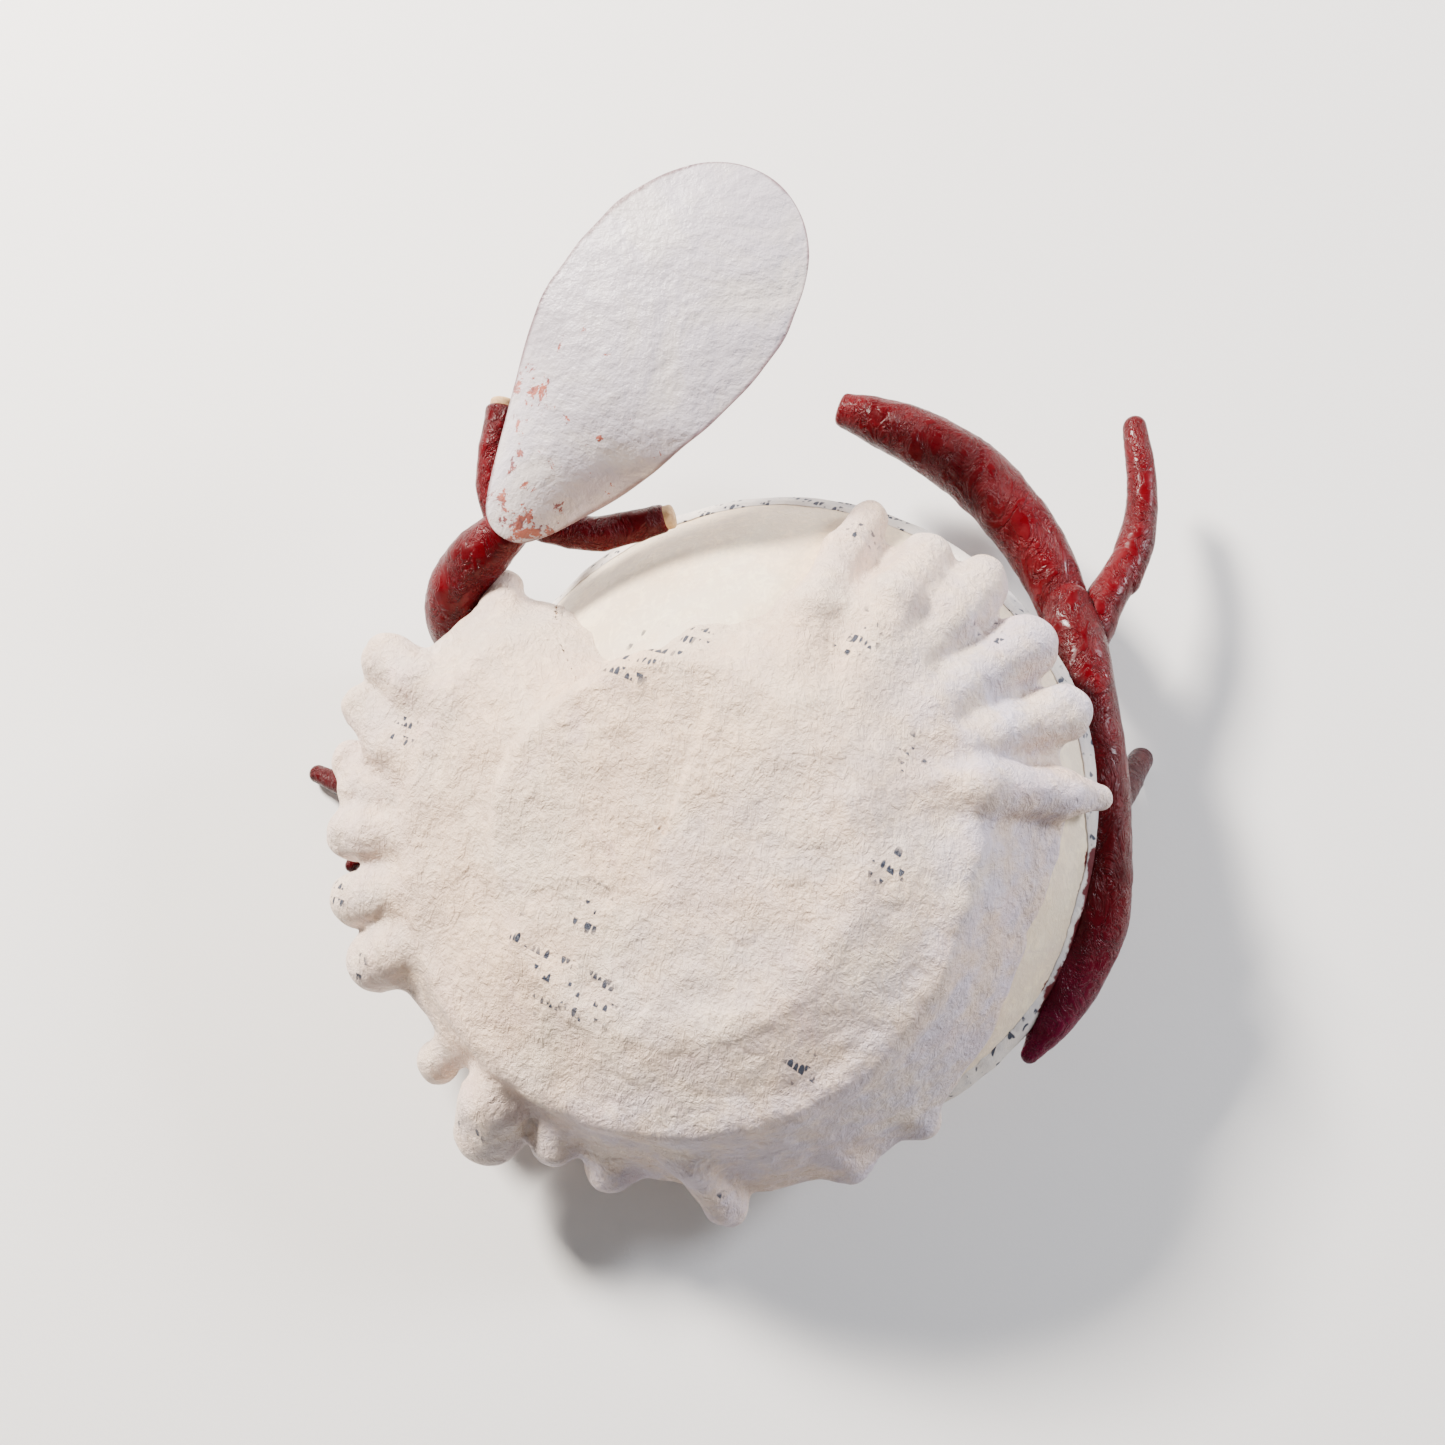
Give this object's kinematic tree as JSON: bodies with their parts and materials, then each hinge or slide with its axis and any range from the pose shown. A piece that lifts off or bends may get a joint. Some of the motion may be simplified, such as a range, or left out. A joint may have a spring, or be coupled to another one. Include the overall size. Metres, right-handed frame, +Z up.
{
  "type": "papier-mache bowl sculpture",
  "caption": "White papier-mache bowl sculpture lying on its rim, foot up, with a ring of pulp toes, red branching limbs and a domed leaf on a stem.",
  "frame": {"origin": "on the floor under the middle of the object's bounding box, in the pose it lies in: on its rim with the foot up", "axes": "+Z up from the floor; +Y from the bowl towards the leaf; +X from the bowl towards the red trunk"},
  "size_m": [0.2307, 0.249, 0.0914],
  "materials": {
    "white_pulp": "rough pasted pulp, satin white paint",
    "white_smooth": "smooth pasted paper, satin cream paint",
    "red_paper": "gloss crimson paint over wrinkled paper",
    "pearl_paper": "pearl white paint over pasted paper",
    "card": "plain",
    "wire": "dull",
    "bare_wood": "raw"
  },
  "bodies": {
    "root": {"bowl_shell": "white_smooth", "rim_band": "white_pulp", "foot_pad": "white_pulp", "skirt_left": "white_pulp", "skirt_front": "white_pulp", "skirt_corner": "white_pulp", "skirt_right": "white_pulp", "stem_nub": "white_pulp", "toe_left_1": "white_pulp", "toe_left_2": "white_pulp", "toe_left_3": "white_pulp", "toe_left_4": "white_pulp", "toe_left_5": "white_pulp", "toe_left_6": "white_pulp", "toe_front_1": "white_pulp", "toe_front_2": "white_pulp", "toe_front_3": "white_pulp", "toe_front_4": "white_pulp", "toe_front_5": "white_pulp", "toe_front_6": "white_pulp", "toe_front_7": "white_pulp", "toe_right_1": "white_pulp", "toe_right_2": "white_pulp", "toe_right_3": "white_pulp", "toe_right_4": "white_pulp", "toe_right_5": "white_pulp", "trunk": "red_paper", "arm_curved": "red_paper", "arm_slim_lower": "red_paper", "arm_slim_upper": "red_paper", "stub_right": "red_paper", "spike_left": "red_paper", "barb_left": "red_paper", "stem": "red_paper", "twig_left": "red_paper", "twig_right": "red_paper", "trunk_wire": "wire", "arm_curved_wire": "wire", "arm_slim_upper_wire": "wire", "stem_wire": "wire", "foot_card": "card", "leaf_card": "card", "leaf_blade": "pearl_paper", "twig_left_end": "bare_wood", "twig_right_end": "bare_wood"}
  },
  "joints": []
}
